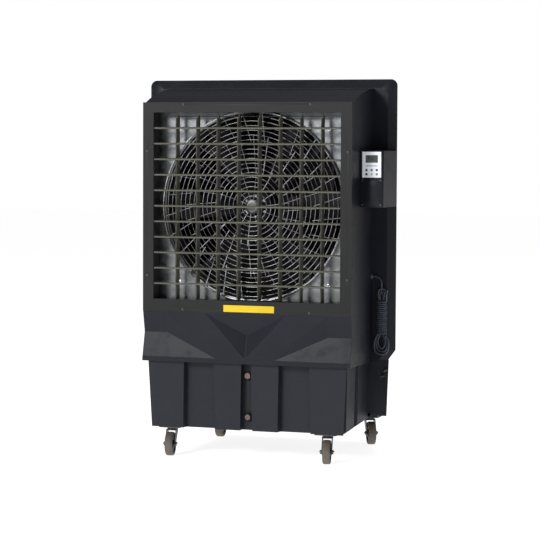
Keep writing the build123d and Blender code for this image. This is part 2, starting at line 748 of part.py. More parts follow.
nodes = {"main_housing": main_housing, "front_skirt": front_skirt, "water_tank": water_tank,
         "front_frame": front_frame, "frame_screws": frame_screws, "fan_shroud": fan_shroud,
         "fan_guard": fan_guard, "fan_rotor": fan_rotor, "fan_motor": fan_motor, "motor_mount": motor_mount,
         "pad_frame": pad_frame, "cooling_pad": cooling_pad, "water_distributor": water_distributor,
         "water_pump": water_pump, "supply_hose": supply_hose, "float_valve": float_valve,
         "water_stubs": water_stubs, "channel_fittings": channel_fittings, "caster_plates": caster_plates,
         "control_box": control_box, "control_cover": control_cover, "display_panel": display_panel,
         "display_lens": display_lens, "cord_gland": cord_gland, "power_cord": power_cord,
         "cord_hank": cord_hank, "fin_link": fin_link}
cord_nodes = ("power_cord", "cord_hank")


def build():
    """Every node's shape by name, placed behind the face of the frame."""
    made = {name: make() for name, make in nodes.items()}
    for i, z in enumerate(louvre_heights()):
        made[f"louvre_{i + 1:02d}"] = louvre(z)
    for i, x in enumerate(fin_places()):
        made[f"fin_{i + 1:02d}"] = fin(x)
    for name in caster_rest:
        made[f"caster_fork_{name}"], made[f"caster_wheel_{name}"] = caster_parts(name)
    for i, place in enumerate(key_places()):
        made[f"key_{i + 1}"] = key(place)
    return {name: Compound(children=list(s)) if isinstance(s, list) else s for name, s in made.items()}


def main():
    os.makedirs("parts", exist_ok=True)
    made = build()
    boxes = [shape.bounding_box() for name, shape in made.items() if name not in cord_nodes]
    low, high = min(b.min.Y for b in boxes), max(b.max.Y for b in boxes)
    face = -(low + high) / 2
    print("face of the frame is at Y", round(face, 3), "nodes", len(made))
    for name, shape in made.items():
        export_step(Pos(0, face, 0) * shape, f"parts/{name}.step")


main()
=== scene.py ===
import bpy
import bmesh
import math
import numpy as np
from mathutils import Matrix, Vector


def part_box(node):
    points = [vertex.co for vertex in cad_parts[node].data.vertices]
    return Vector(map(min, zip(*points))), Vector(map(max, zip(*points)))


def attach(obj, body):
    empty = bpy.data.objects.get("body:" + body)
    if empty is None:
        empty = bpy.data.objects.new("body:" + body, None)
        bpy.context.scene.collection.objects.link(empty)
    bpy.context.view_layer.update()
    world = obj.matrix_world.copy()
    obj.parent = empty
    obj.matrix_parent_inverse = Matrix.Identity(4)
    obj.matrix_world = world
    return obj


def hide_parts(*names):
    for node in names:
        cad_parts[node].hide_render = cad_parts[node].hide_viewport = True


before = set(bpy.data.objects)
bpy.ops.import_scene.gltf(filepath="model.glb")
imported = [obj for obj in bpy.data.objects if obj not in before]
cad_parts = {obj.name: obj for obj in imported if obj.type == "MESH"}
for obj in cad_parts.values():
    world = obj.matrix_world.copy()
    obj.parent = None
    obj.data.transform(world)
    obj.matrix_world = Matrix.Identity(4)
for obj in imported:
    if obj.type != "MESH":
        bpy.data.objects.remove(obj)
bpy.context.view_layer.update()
mm = 0.001
faceY = -0.351496            # the front face of the louvre frame
print("frame loaded", len(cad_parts), "nodes")


# ---- shader wires: sums and products of wires add Math nodes ----

class Wire:
    def __init__(self, tree, socket=None):
        self.tree = tree
        self.socket = socket

    def node(self, kind, settings=None, links=None, out=0):
        made = self.tree.nodes.new("ShaderNode" + kind)
        for name, value in (settings or {}).items():
            if name == "stops":
                ramp = made.color_ramp
                while len(ramp.elements) < len(value):
                    ramp.elements.new(0.5)
                for element, (place, color) in zip(ramp.elements, value):
                    element.position = place
                    element.color = color
            else:
                setattr(made, name, value)
        for name, value in (links or {}).items():
            target = made.inputs[name]
            if isinstance(value, Wire):
                self.tree.links.new(value.socket, target)
            else:
                target.default_value = value
        return Wire(self.tree, made.outputs[out])

    def math(self, operation, other=0.0, swap=False):
        pair = {0: other, 1: self} if swap else {0: self, 1: other}
        return self.node("Math", {"operation": operation}, pair)

    def __add__(self, other):
        return self.math("ADD", other)

    def __sub__(self, other):
        return self.math("SUBTRACT", other)

    def __rsub__(self, other):
        return self.math("SUBTRACT", other, swap=True)

    def __mul__(self, other):
        return self.math("MULTIPLY", other)

    def __truediv__(self, other):
        return self.math("DIVIDE", other)

    __radd__ = __add__
    __rmul__ = __mul__

    def above(self, level, soft=0.0):
        # 0 below the level, 1 above it, with a ramp as wide as soft
        if not soft:
            return self.math("GREATER_THAN", level)
        return self.node("MapRange", {}, {"Value": self, "From Min": level - soft,
                                          "From Max": level + soft})

    def clamp(self):
        return self.node("Clamp", {}, {"Value": self})

    def xyz(self):
        parts = self.node("SeparateXYZ", {}, {0: self})
        made = parts.socket.node
        return [Wire(self.tree, made.outputs[i]) for i in range(3)]

    def noise(self, scale, detail=2.0, rough=0.5):
        return self.node("TexNoise", {}, {"Vector": self, "Scale": scale, "Detail": detail,
                                          "Roughness": rough})

    def mix(self, first, second):
        # self is the factor between two colours
        return self.node("Mix", {"data_type": "RGBA"}, {0: self, 6: first, 7: second}, out=2)


def shade(color):
    return tuple(color) + (1.0,)


def newMaterial(name, finish):
    # finish(space) gives the value or wire of each socket; space is the place in the cooler's own frame
    made = bpy.data.materials.new(name)
    made.use_nodes = True
    tree = made.node_tree
    bsdf = next(n for n in tree.nodes if n.type == "BSDF_PRINCIPLED")
    space = Wire(tree).node("TexCoord", out=3)
    for socket, value in finish(space).items():
        if isinstance(value, Wire):
            tree.links.new(value.socket, bsdf.inputs[socket])
        else:
            bsdf.inputs[socket].default_value = value
    return made


def bump(height, strength, distance):
    return height.node("Bump", {}, {"Height": height, "Strength": strength, "Distance": distance})


# ---- finishes ----

def mouldedPlastic(name, tone, rough=0.42, grain=0.25, chalk=0.15, dustLevel=0.0):
    # moulded plastic: fine pebble grain, slow tone changes, faint rubbed patches and a little dust low down
    def finish(space):
        z = space.xyz()[2]
        slow = space.noise(3.5, 3.0)
        pebble = space.noise(850.0, 2.0)
        rubbed = space.noise(14.0, 6.0, 0.65).above(0.60, 0.09)
        low = 1 - z.above(dustLevel, 0.16) if dustLevel else 0.0
        base = (slow.above(0.5, 0.25)).mix(shade([c * 0.86 for c in tone]),
                                           shade([c * 1.14 for c in tone]))
        pale = shade([c * 1.5 + 0.012 for c in tone])
        worn = (rubbed * chalk + low * 0.12) if dustLevel else rubbed * chalk
        return {"Base Color": worn.mix(base, pale),
                "Roughness": rubbed * 0.10 + slow * 0.10 + (rough - 0.05),
                "Normal": bump(pebble, grain, 0.0006), "Specular IOR Level": 0.22}
    return newMaterial(name, finish)


def zincSheet(name, tone=(0.27, 0.28, 0.29)):
    # galvanised sheet: large flat spangles of slightly different grey
    def finish(space):
        cells = space.node("TexVoronoi", {}, {"Vector": space, "Scale": 62.0}, out=1)
        value = cells.node("SeparateColor", {}, {0: cells})
        streak = space.noise(9.0, 5.0, 0.6)
        dull = shade([c * 0.62 for c in tone])
        return {"Base Color": (value * 0.55 + streak * 0.45).clamp().mix(dull, shade(tone)),
                "Roughness": value * 0.16 + streak * 0.12 + 0.24, "Metallic": 0.92,
                "Normal": bump(space.noise(36.0, 2.0), 0.25, 0.003)}
    return newMaterial(name, finish)


def plainMetal(name, tone, rough, grain=500.0, strength=0.15):
    def finish(space):
        dull = space.noise(40.0, 4.0, 0.6)
        return {"Base Color": dull.above(0.5, 0.2).mix(shade([c * 0.8 for c in tone]), shade(tone)),
                "Roughness": dull * 0.18 + (rough - 0.09), "Metallic": 1.0,
                "Normal": bump(space.noise(grain, 2.0), strength, 0.0004)}
    return newMaterial(name, finish)


def softRubber(name, tone, rough=0.6, grain=1200.0):
    def finish(space):
        slow = space.noise(25.0, 3.0)
        return {"Base Color": slow.above(0.5, 0.25).mix(shade([c * 0.8 for c in tone]),
                                                        shade([c * 1.2 for c in tone])),
                "Roughness": slow * 0.15 + (rough - 0.07),
                "Normal": bump(space.noise(grain, 2.0), 0.3, 0.0004)}
    return newMaterial(name, finish)


def wetPaper(name):
    # cooling pad: corrugated brown paper, darker in its cells and towards the bottom, with painted shade on
    # its fan side
    def finish(space):
        y, z = space.xyz()[1:]
        slow = space.noise(6.0, 4.0)
        fibre = space.noise(700.0, 3.0)
        damp = 1 - z.above(0.75, 0.35)
        dry = slow.above(0.5, 0.3).mix(shade((0.20, 0.13, 0.065)), shade((0.29, 0.20, 0.10)))
        tint = (damp * 0.5).mix(dry, shade((0.12, 0.08, 0.045)))
        # the side towards the fan is painted near-black as painted shade inside the housing
        paintedShade = 1 - y.above(0.30, 0.02)
        return {"Base Color": paintedShade.mix(tint, shade((0.010, 0.009, 0.008))),
                "Roughness": damp * -0.15 + 0.9,
                "Normal": bump(fibre, 0.4, 0.0008)}
    return newMaterial(name, finish)


housingPlastic = mouldedPlastic("housing plastic", (0.0085, 0.0092, 0.0150), 0.42, dustLevel=0.0)
tankPlastic = mouldedPlastic("tank plastic", (0.0165, 0.0175, 0.0235), 0.48, dustLevel=0.16)
framePlastic = mouldedPlastic("frame plastic", (0.0135, 0.0137, 0.0140), 0.46)
bladePlastic = mouldedPlastic("blade plastic", (0.004, 0.004, 0.0045), 0.5)
louvrePlastic = mouldedPlastic("louvre plastic", (0.115, 0.111, 0.092), 0.36, grain=0.15, chalk=0.3)
whitePlastic = mouldedPlastic("white plastic", (0.62, 0.63, 0.60), 0.4)
pumpPlastic = mouldedPlastic("pump plastic", (0.03, 0.05, 0.10), 0.35)
hubPlastic = mouldedPlastic("wheel centre plastic", (0.02, 0.02, 0.02), 0.4)
panelPlastic = mouldedPlastic("panel plastic", (0.88, 0.93, 0.98), 0.3, grain=0.08, chalk=0.05)
badgePaint = mouldedPlastic("badge yellow", (0.75, 0.52, 0.02), 0.35, grain=0.05, chalk=0.1)
zinc = zincSheet("galvanised sheet")
brightWire = plainMetal("bright wire", (0.80, 0.81, 0.82), 0.28)
casterZinc = plainMetal("caster plating", (0.10, 0.10, 0.10), 0.42)
axleSteel = plainMetal("axle steel", (0.75, 0.75, 0.74), 0.25)
screwSteel = plainMetal("screw steel", (0.10, 0.10, 0.10), 0.4)
brass = plainMetal("dull brass", (0.20, 0.155, 0.145), 0.5)
motorPaint = mouldedPlastic("motor paint", (0.06, 0.062, 0.068), 0.3, grain=0.1)
strutPaint = plainMetal("dark struts", (0.03, 0.03, 0.032), 0.5)
cordRubber = softRubber("cord rubber", (0.038, 0.046, 0.062), 0.5)
hoseRubber = softRubber("hose rubber", (0.015, 0.015, 0.016), 0.6)
treadRubber = softRubber("taupe tread", (0.115, 0.095, 0.078), 0.65)
keyDark = softRubber("dark key", (0.008, 0.016, 0.024), 0.35)
keyLight = softRubber("pale key", (0.42, 0.44, 0.50), 0.35)
keyOlive = softRubber("olive key", (0.16, 0.17, 0.10), 0.35)
padPaper = wetPaper("pad paper")
lensLook = {"Base Color": shade((0.5, 0.55, 0.5)), "Roughness": 0.08, "Alpha": 0.12}
lensGlass = newMaterial("clear lens", lambda space: lensLook)
print("finishes made")


# ---- mesh tools ----

def gridFaces(rows, columns, closeRows, closeColumns, start):
    # quads between neighbouring points of a rows by columns grid
    i = np.arange(rows if closeRows else rows - 1)
    j = np.arange(columns if closeColumns else columns - 1)
    a, b = np.meshgrid(i, j, indexing="ij")
    c, d = (a + 1) % rows, (b + 1) % columns
    quads = np.stack([a * columns + b, c * columns + b, c * columns + d, a * columns + d], -1)
    return quads.reshape(-1, 4) + start


def piece(name, grids, body="root", materials=(), stands=(), smooth=35.0):
    # grids: (points, closeRows, closeColumns, material index); all of them make one mesh
    verts, faces, finishes, start = [], [], [], 0
    for points, closeRows, closeColumns, finish in grids:
        rows, columns = points.shape[:2]
        quads = gridFaces(rows, columns, closeRows, closeColumns, start)
        verts.append(points.reshape(-1, 3))
        faces.append(quads)
        finishes.append(np.full(len(quads), finish))
        start += rows * columns
    mesh = bpy.data.meshes.new(name)
    mesh.from_pydata(np.concatenate(verts).tolist(), [], np.concatenate(faces).tolist())
    for material in materials:
        mesh.materials.append(material)
    mesh.polygons.foreach_set("material_index", np.concatenate(finishes).astype(np.int32))
    return settle(name, mesh, body, stands, smooth)


def settle(name, mesh, body, stands, smooth=35.0, recalc=True):
    # merges doubles, turns the faces outwards, smooths, and puts the piece on its body
    work = bmesh.new()
    work.from_mesh(mesh)
    bmesh.ops.remove_doubles(work, verts=work.verts, dist=2e-6)
    if recalc:
        bmesh.ops.recalc_face_normals(work, faces=work.faces)
    work.to_mesh(mesh)
    work.free()
    mesh.polygons.foreach_set("use_smooth", np.ones(len(mesh.polygons), bool))
    mesh.set_sharp_from_angle(angle=math.radians(smooth))
    made = bpy.data.objects.new(name, mesh)
    bpy.context.scene.collection.objects.link(made)
    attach(made, body)
    if stands:
        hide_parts(*stands)
    return made


def softened(node, width, material, body="root", segments=2, name=None, angle=28.0, smooth=40.0):
    # a merged copy of a CAD node with its sharp edges rounded
    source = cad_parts[node]
    mesh = source.data.copy()
    work = bmesh.new()
    work.from_mesh(mesh)
    bmesh.ops.remove_doubles(work, verts=work.verts, dist=1e-5)
    bmesh.ops.dissolve_limit(work, angle_limit=math.radians(1.0), verts=work.verts, edges=work.edges)
    sharp = [e for e in work.edges
             if len(e.link_faces) == 2 and e.calc_face_angle(0) > math.radians(angle)]
    bmesh.ops.bevel(work, geom=sharp, offset=width, segments=segments, profile=0.5, affect="EDGES",
                    clamp_overlap=True)
    bmesh.ops.triangulate(work, faces=[f for f in work.faces if len(f.verts) > 4])
    work.to_mesh(mesh)
    work.free()
    mesh.materials.clear()
    mesh.materials.append(material)
    mesh.polygons.foreach_set("material_index", np.zeros(len(mesh.polygons), np.int32))
    made = settle(name or node + "_finished", mesh, body, (node,), smooth=smooth, recalc=False)
    # wide flat faces keep their own shading, so only the rounded edges blend
    wide = np.array([f.area for f in made.data.polygons]) < 4e-4
    made.data.polygons.foreach_set("use_smooth", wide)
    return made


def lathe(profile, origin, axis, sides=48):
    # a profile of (radius, distance along the axis) turned about it
    profile = np.array(profile, float)
    axis = np.array(axis, float) / np.linalg.norm(axis)
    side = np.cross(axis, (0.0, 0.0, 1.0) if abs(axis[2]) < 0.9 else (1.0, 0.0, 0.0))
    side /= np.linalg.norm(side)
    other = np.cross(axis, side)
    turn = np.linspace(0, 2 * np.pi, sides, endpoint=False)
    ring = np.cos(turn)[:, None] * side + np.sin(turn)[:, None] * other
    points = (profile[:, 0, None, None] * ring[None] + profile[:, 1, None, None] * axis
              + np.array(origin, float))
    return points, False, True


def carried(path, section, ahead=None):
    # a flat closed section carried along a path, its ends drawn to a point
    path = np.array(path, float)
    along = np.gradient(path, axis=0)
    along /= np.linalg.norm(along, axis=1)[:, None]
    up = np.array(ahead if ahead is not None else (0.0, 0.0, 1.0))
    side = np.cross(along, up)
    side /= np.linalg.norm(side, axis=1)[:, None]
    rise = np.cross(side, along)
    points = (path[:, None] + section[None, :, 0, None] * side[:, None]
              + section[None, :, 1, None] * rise[:, None])
    return np.concatenate([path[None, 0].repeat(len(section), 0)[None], points,
                           path[None, -1].repeat(len(section), 0)[None]]), False, True


def oval(width, height, count=20):
    turn = np.linspace(0, 2 * np.pi, count, endpoint=False)
    return np.stack([width / 2 * np.cos(turn), height / 2 * np.sin(turn)], -1)


def roundedBar(width, height, radius, perCorner=4):
    # outline of a rectangle with round corners
    turn = np.linspace(0, np.pi / 2, perCorner)
    arc = np.stack([np.cos(turn), np.sin(turn)], -1) * radius
    corners = []
    for k, (sx, sy) in enumerate(((1, 1), (-1, 1), (-1, -1), (1, -1))):
        spin = np.array([[math.cos(k * math.pi / 2), math.sin(k * math.pi / 2)],
                         [-math.sin(k * math.pi / 2), math.cos(k * math.pi / 2)]])
        corners.append(arc @ spin + [sx * (width / 2 - radius), sy * (height / 2 - radius)])
    return np.concatenate(corners)


def slab(outline, low, high, edge, axis=2):
    # a flat plate of that outline between two levels, its edges rounded over by edge
    centre = outline.mean(0)
    shrink = outline + (centre - outline) / np.linalg.norm(centre - outline, axis=1)[:, None] * edge
    levels = [(centre + (outline - centre) * 0.0, low), (shrink, low), (outline, low + edge),
              (outline, high - edge), (shrink, high), (centre + (outline - centre) * 0.0, high)]
    rows = [np.concatenate([flat, np.full((len(flat), 1), level)], 1) for flat, level in levels]
    points = np.stack(rows)
    order = {2: (0, 1, 2), 1: (0, 2, 1), 0: (2, 0, 1)}[axis]
    return points[..., order], False, True


def at(x, y, z):
    # a place given in millimetres across, behind the face and up
    return np.array([x * mm, faceY + y * mm, z * mm])


# ---- camera ----

cameraView = {"place": (2.9117, -8.0821, 1.3011), "yaw": 19.133, "pitch": 3.415, "roll": -0.252,
              "focal": 2092.0}


def makeCamera(view):
    yaw, pitch, roll = (math.radians(view[k]) for k in ("yaw", "pitch", "roll"))
    right = Vector((math.cos(yaw), math.sin(yaw), 0))
    ahead = Vector((-math.sin(yaw) * math.cos(pitch), math.cos(yaw) * math.cos(pitch), -math.sin(pitch)))
    up = right.cross(ahead)
    lean = Matrix.Rotation(roll, 3, ahead)
    right, up = lean @ right, lean @ up
    data = bpy.data.cameras.new("view")
    data.sensor_width = 36.0
    data.lens = 36.0 * view["focal"] / 540
    data.clip_end = 60
    made = bpy.data.objects.new("view", data)
    x, y, z = view["place"]
    turnTo = Matrix((right, up, -ahead)).transposed().to_4x4()
    made.matrix_world = Matrix.Translation((x, y + faceY, z)) @ turnTo
    bpy.context.scene.collection.objects.link(made)
    bpy.context.scene.camera = made


makeCamera(cameraView)


# ---- power cord and its hank ----

cordValues = {"diameter": 7.6, "middle": (501, 294), "bottoms": [(32, 428), (25, 440), (17, 454)],
              "route": [(464, 296, 756), (475.6, 296, 756), (490.5, 295.3, 749), (499, 294.2, 735),
                        (499, 294, 710)],
              "tops": [(16, 706), (13, 699), (10, 692)], "wraps": 17, "wrapLow": 512, "wrapHigh": 652,
              "columns": [(11.4, -3.8), (11.4, 3.8), (3.8, -3.8), (3.8, 3.8)], "wrapWide": 18.8,
              "wrapDeep": 11.4}


def hankPoints(v):
    # long loops down the right and up the left, then turns round their waist from the bottom upwards
    cx, cy = v["middle"]
    top, low = v["wrapHigh"] + 8, v["wrapLow"] + 4
    points = [(cx - 2, cy, 690)]
    for k, (column, layer) in enumerate(v["columns"]):
        points += [(cx + column, cy + layer, h) for h in (top, 580, low)]
        if k == len(v["bottoms"]):
            break
        wide, foot = v["bottoms"][k]
        lean = cy + layer * (1.0 - 0.35 * k)
        points += [(cx + wide * 0.92, lean, low - 22), (cx + wide, lean, foot + 40),
                   (cx + wide * 0.80, lean, foot + 10), (cx + 1, lean - 1, foot),
                   (cx - wide * 0.80, lean, foot + 9), (cx - wide, lean, foot + 36),
                   (cx - wide * 0.90, lean, low - 20)]
        points += [(cx - column, cy + layer, h) for h in (low, 580, top)]
        wide, high = v["tops"][k]
        nextLayer = v["columns"][k + 1][1]
        points += [(cx - wide, cy + layer, high - 14), (cx - wide * 0.6, cy + layer, high - 2),
                   (cx + wide * 0.6, cy + nextLayer, high - 2), (cx + wide, cy + nextLayer, high - 14)]
    points += [(cx + 4, cy + 2, low - 14), (cx + 12, cy - 6, low - 18), (cx + 20, cy - 9, low - 10)]
    steps = 12
    for i in range(v["wraps"] * steps + 1):
        turn = 2 * math.pi * i / steps
        rise = v["wrapLow"] + (v["wrapHigh"] - v["wrapLow"]) * i / (v["wraps"] * steps)
        c, s = math.cos(turn), math.sin(turn)
        square = 1 / (abs(c) ** 4 + abs(s) ** 4) ** 0.25      # pushes the corners of the turn out
        swell = 1 + 0.05 * math.sin(turn * 0.37)
        points.append((cx + v["wrapWide"] * c * min(square, 1.12) * swell,
                       cy + v["wrapDeep"] * s * square * swell, rise))
    points += [(cx + 20, cy - 7, 668), (cx + 22, cy - 9, 684), (cx + 26, cy - 9, 700)]
    return points


def makeCord(v):
    places = [at(*p) for p in v["route"] + hankPoints(v)]
    data = bpy.data.curves.new("mains_cord", "CURVE")
    data.dimensions = "3D"
    line = data.splines.new("NURBS")
    line.points.add(len(places) - 1)
    for point, place in zip(line.points, places):
        point.co = (*place, 1.0)
    line.order_u = 3
    line.use_endpoint_u = True
    line.resolution_u = 6
    data.bevel_depth = v["diameter"] / 2 * mm
    data.bevel_resolution = 3
    data.use_fill_caps = True
    data.materials.append(cordRubber)
    made = bpy.data.objects.new("mains_cord", data)
    bpy.context.scene.collection.objects.link(made)
    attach(made, "root")
    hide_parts("power_cord", "cord_hank")
    probe = data.copy()
    probe.bevel_depth = 0
    holder = bpy.data.objects.new("probe", probe)
    bpy.context.scene.collection.objects.link(holder)
    bpy.context.view_layer.update()
    line = bpy.data.meshes.new_from_object(holder.evaluated_get(bpy.context.evaluated_depsgraph_get()))
    path = np.array([vert.co for vert in line.vertices])
    bpy.data.objects.remove(holder)
    length = float(np.linalg.norm(np.diff(path, axis=0), axis=1).sum())
    print("cord length", round(length, 3))
    return made, length


mainsCord, cordLength = makeCord(cordValues)
print("cord made")


# ---- cast and moulded shells ----

shells = {"main_housing": (1.6, housingPlastic, "housing_plastic"),
          "front_skirt": (1.5, housingPlastic, "housing_plastic"),
          "pad_frame": (0.8, housingPlastic, "housing_plastic"),
          "water_tank": (2.0, tankPlastic, "tank_plastic"),
          "front_frame": (1.2, framePlastic, "frame_plastic"),
          "control_box": (1.2, housingPlastic, "housing_plastic"),
          "water_distributor": (1.0, whitePlastic, "white_plastic"),
          "water_pump": (2.0, pumpPlastic, "pump_plastic"),
          "display_panel": (0.7, panelPlastic, "panel_plastic"),
          "motor_mount": (0.8, strutPaint, "zinc_sheet"),
          "caster_plates": (0.8, casterZinc, "caster_zinc"),
          "control_cover": (0.6, housingPlastic, "housing_plastic"),
          "fin_link": (0.5, framePlastic, "louvre_plastic")}


def makeShells():
    for node, (width, material, slot) in shells.items():
        body = "fin_link" if node == "fin_link" else "root"
        low = node == "front_skirt"      # its facets meet at shallow angles and stay crisp
        softened(node, width * mm, material, body, angle=7.0 if low else 28.0,
                 smooth=4.0 if low else 40.0)
    for name in ("front_left", "front_right", "rear_left", "rear_right"):
        fork = "caster_fork_" + name
        softened(fork, 0.7 * mm, casterZinc, fork)


makeShells()
print("shells made")


# ---- small shapes shared by the pieces below ----

def hoop(radius, wire, origin, axis, sides=96, wide=None):
    # a ring of round or oval wire
    turn = np.linspace(0, 2 * np.pi, 8, endpoint=False)
    profile = np.stack([radius + wire / 2 * np.cos(turn), (wide or wire) / 2 * np.sin(turn)], -1)
    return lathe(profile, origin, axis, sides)[0], True, True, 0


def stick(start, end, thick, finish=0, sides=6):
    # a straight round wire
    start, end = np.array(start, float), np.array(end, float)
    along = end - start
    ahead = (0.0, 0.0, 1.0) if abs(along[2]) < 0.9 * np.linalg.norm(along) else (1.0, 0.0, 0.0)
    return carried([start, end], oval(thick, thick, sides), ahead) + (finish,)


def turned(profile, origin, axis, sides=48, finish=0):
    # a closed lathe body; profile in millimetres
    return lathe(np.array(profile, float) * mm, origin, axis, sides) + (finish,)


def plate(x, y, z, edge=0.5, finish=0, corner=None):
    # a rounded block between two limits on each axis, millimetres behind the face
    low, high = at(x[0], y[0], z[0]), at(x[1], y[1], z[1])
    size, middle = high - low, (low + high) / 2
    radius = (corner or min(size[0], size[2]) / mm * 0.12) * mm
    points, rows, columns = slab(roundedBar(size[0], size[2], radius), -size[1] / 2, size[1] / 2,
                                 edge * mm, axis=1)
    return points + middle, rows, columns, finish


# ---- louvres and fins ----

bladeValues = {"chord": 21.0, "thick": 9.0, "step": 1.0, "pin": 2.5}


def makeLouvres(v):
    for name in [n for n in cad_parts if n.startswith("louvre_")]:
        low, high = (np.array(p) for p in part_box(name))
        y, z = (low[1] + high[1]) / 2, (low[2] + high[2]) / 2
        x0, x1 = low[0] + 3 * mm + 1 * mm, high[0] - 3 * mm - 1 * mm
        # the section narrows a little over the last millimetres, then closes
        stations = [(x0, 0.72), (x0 + 0.4 * mm, 0.90), (x0 + v["step"] * mm, 1.0), (0.0, 1.0),
                    (x1 - v["step"] * mm, 1.0), (x1 - 0.4 * mm, 0.90), (x1, 0.72)]
        section = oval(v["chord"] * mm, v["thick"] * mm, 28)
        rows = [np.stack([np.full(28, x), y + section[:, 0] * k, z + section[:, 1] * k], -1)
                for x, k in stations]
        rows = [rows[0].mean(0)[None].repeat(28, 0)] + rows + [rows[-1].mean(0)[None].repeat(28, 0)]
        grids = [(np.stack(rows), False, True, 0)]
        for side in (-1, 1):
            edge = x1 if side > 0 else x0
            grids.append(turned([(0, -1.5), (v["pin"], -1.5), (v["pin"], 3.6), (v["pin"] - 0.4, 4.0),
                                 (0, 4.0)],
                                (edge, y, z), (side, 0, 0), 20))
            grids.append(turned([(0, -0.4), (4.6, -0.4), (4.6, 0.3), (4.2, 0.6), (0, 0.6)],
                                (edge, y, z), (side, 0, 0), 20))
        piece(name + "_blade", grids, name, [louvrePlastic], [name])


makeLouvres(bladeValues)

finValues = {"chord": 42.0, "thick": 10.5, "pin": 2.5, "crank": 12.0, "crankPin": 2.0}


def makeFins(v):
    for name in [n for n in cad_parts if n.startswith("fin_0")]:
        low, high = (np.array(p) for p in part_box(name))
        x = (low[0] + high[0]) / 2
        y = low[1] + v["chord"] / 2 * mm
        z0, z1 = low[2] + 4 * mm, high[2] - 25 * mm
        section = oval(v["thick"] * mm, v["chord"] * mm, 28)
        stations = [(z0, 0.75), (z0 + 0.5 * mm, 0.93), (z0 + 1.2 * mm, 1.0), (z1 - 1.2 * mm, 1.0),
                    (z1 - 0.5 * mm, 0.93), (z1, 0.75)]
        rows = [np.stack([x + section[:, 0] * k, y + section[:, 1] * k, np.full(28, z)], -1)
                for z, k in stations]
        rows = [rows[0].mean(0)[None].repeat(28, 0)] + rows + [rows[-1].mean(0)[None].repeat(28, 0)]
        grids = [(np.stack(rows), False, True, 0)]
        reach = high[2] - low[2]
        grids.append(turned([(0, 0), (v["pin"] - 0.3, 0), (v["pin"], 0.3), (v["pin"], reach / mm - 0.3),
                             (v["pin"] - 0.3, reach / mm), (0, reach / mm)], (x, y, low[2]),
                            (0, 0, 1), 20))
        grids.append(turned([(0, 0), (5.4, 0), (5.4, 1.2), (4.9, 1.6), (0, 1.6)], (x, y, z0 - 1 * mm),
                            (0, 0, 1), 20))
        # the crank: a rounded arm with a boss and its pin
        base = z1 - 2 * mm
        arm = roundedBar(7 * mm, (v["crank"] + 7) * mm, 3.4 * mm) + [0, v["crank"] / 2 * mm]
        points, closeRows, closeColumns = slab(arm, 0, 6 * mm, 0.4 * mm)
        grids.append((points + [x, y, base], closeRows, closeColumns, 0))
        grids.append(turned([(0, 0), (v["crankPin"], 0), (v["crankPin"], 9.6),
                             (v["crankPin"] - 0.4, 10), (0, 10)],
                            (x, y + v["crank"] * mm, base + 4 * mm), (0, 0, 1), 18))
        piece(name + "_blade", grids, name, [louvrePlastic], [name])


makeFins(finValues)
print("louvres and fins made")


# ---- fan: guard, blades, motor and the sheet round them ----

guardValues = {"inner": 44.0, "pitch": 19.4, "rings": 18, "wire": 2.4, "spokeWire": 3.2, "bend": 0.10}


def makeGuard(v):
    low, high = (np.array(p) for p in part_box("fan_guard"))
    centre = (low + high) / 2
    front = low[1]
    outer = (high[0] - low[0]) / 2
    ringY = front + v["wire"] / 2 * mm
    spokeY = ringY + (v["wire"] + v["spokeWire"]) / 2 * mm
    def place(radius, turn, y):
        return (centre[0] + radius * math.cos(turn), y, centre[2] + radius * math.sin(turn))
    grids = []
    for k in range(v["rings"]):
        grids.append(hoop((v["inner"] + k * v["pitch"]) * mm, v["wire"] * mm,
                          (centre[0], ringY, centre[2]), (0, 1, 0), 84))
    grids.append(hoop(outer - 3.2 * mm, 6.2 * mm, (centre[0], ringY + 1.2 * mm, centre[2]), (0, 1, 0),
                      120))
    # three belts of spokes, each belt turned against the one inside it, all slightly slanted
    belts = [(24 * mm, 165 * mm, 14, 0.0), (140 * mm, 292 * mm, 28, 0.11),
             (268 * mm, outer - 3 * mm, 28, 0.02)]
    for start, end, count, shift in belts:
        for i in range(count):
            turn = 2 * math.pi * i / count + shift
            grids.append(stick(place(start, turn, spokeY), place(end, turn + v["bend"], spokeY),
                               v["spokeWire"] * mm))
    hub = (centre[0], front, centre[2])
    grids.append(turned([(0, -2.0), (12, -2.0), (24, -1.2), (29, 0.4), (30, 2.0), (30, 4.4),
                         (0, 4.4)], hub, (0, 1, 0), 48, 1))
    for radius in (12, 20):
        grids.append(hoop(radius * mm, 1.6 * mm, (centre[0], front - 1.2 * mm, centre[2]), (0, 1, 0), 40))
    # four stand-offs to the sheet, each with a bolt
    for i in range(4):
        turn = math.pi / 4 + math.pi / 2 * i
        spot = place(outer - 4 * mm, turn, front + 4 * mm)
        grids.append(turned([(0, 0), (5, 0), (5, 17.6), (0, 17.6)], spot, (0, 1, 0), 20))
        grids.append(turned([(0, -3.4), (5.4, -3.4), (6.0, -2.6), (6.0, 0.6), (0, 0.6)], spot,
                            (0, 1, 0), 6, 1))
    piece("guard_wires", grids, "root", [brightWire, screwSteel], ["fan_guard"])


makeGuard(guardValues)

bladeShape = {"count": 6, "hub": 75.0, "tip": 377.0, "rootPitch": 38.0, "tipPitch": 20.0,
              "rootChord": 96.0,
              "tipChord": 122.0, "camber": 9.0, "thick": 5.0}


